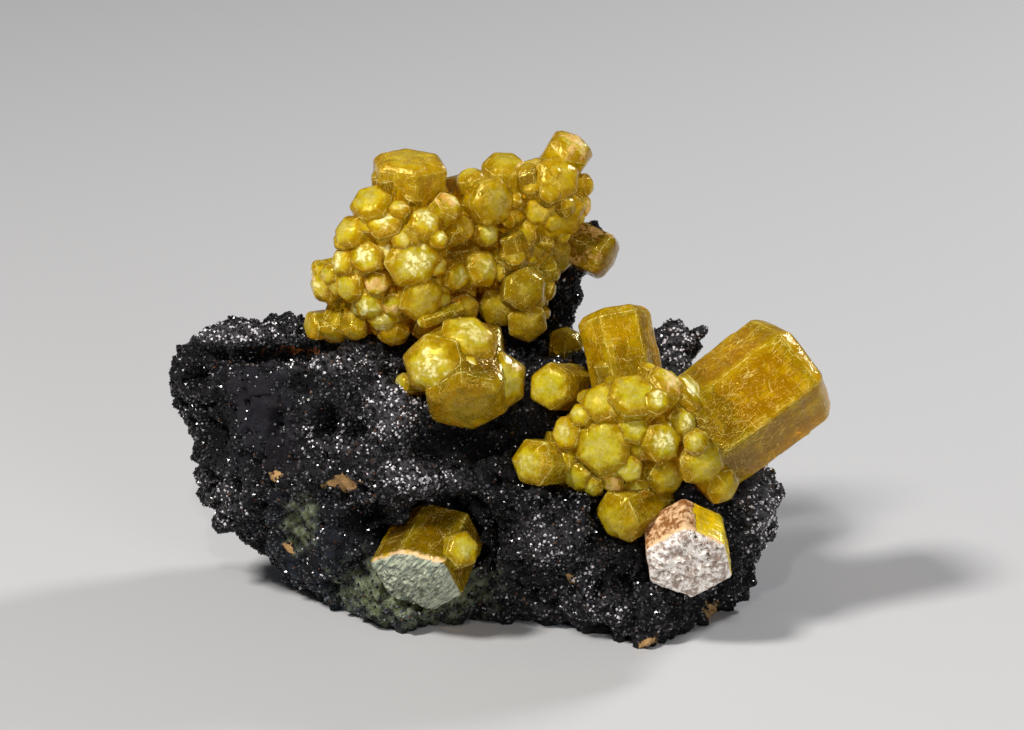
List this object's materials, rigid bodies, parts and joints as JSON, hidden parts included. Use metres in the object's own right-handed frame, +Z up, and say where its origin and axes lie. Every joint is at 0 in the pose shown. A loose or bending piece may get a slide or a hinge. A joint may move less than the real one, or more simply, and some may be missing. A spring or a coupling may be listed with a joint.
{
  "type": "ettringite on matrix",
  "caption": "Mineral specimen: clusters of yellow translucent hexagonal ettringite prisms on a dark druse-covered manganese rock, resting on its flat underside.",
  "frame": {"origin": "under the middle of the bounding box, on the plane of the flat underside", "axes": "+X along the specimen's length, from the bare end of the rock to the largest prism; -Y is the front; +Z up"},
  "size_m": [0.0842, 0.0456, 0.0605],
  "materials": {
    "rock": "rough black manganese rock under a sparkling druse",
    "ettringite": "translucent, glossy sides and frosted ends",
    "crusted_ettringite": "dull pale crust over a yellow crystal"
  },
  "bodies": {
    "root": {"matrix": "rock", "crown_cluster": "ettringite", "heart_cluster": "ettringite", "bridge_crystal": "ettringite", "rosette_cluster": "ettringite", "stub_crystal": "crusted_ettringite", "pocket_crystals": "ettringite", "rear_crystal": "ettringite"}
  },
  "joints": []
}
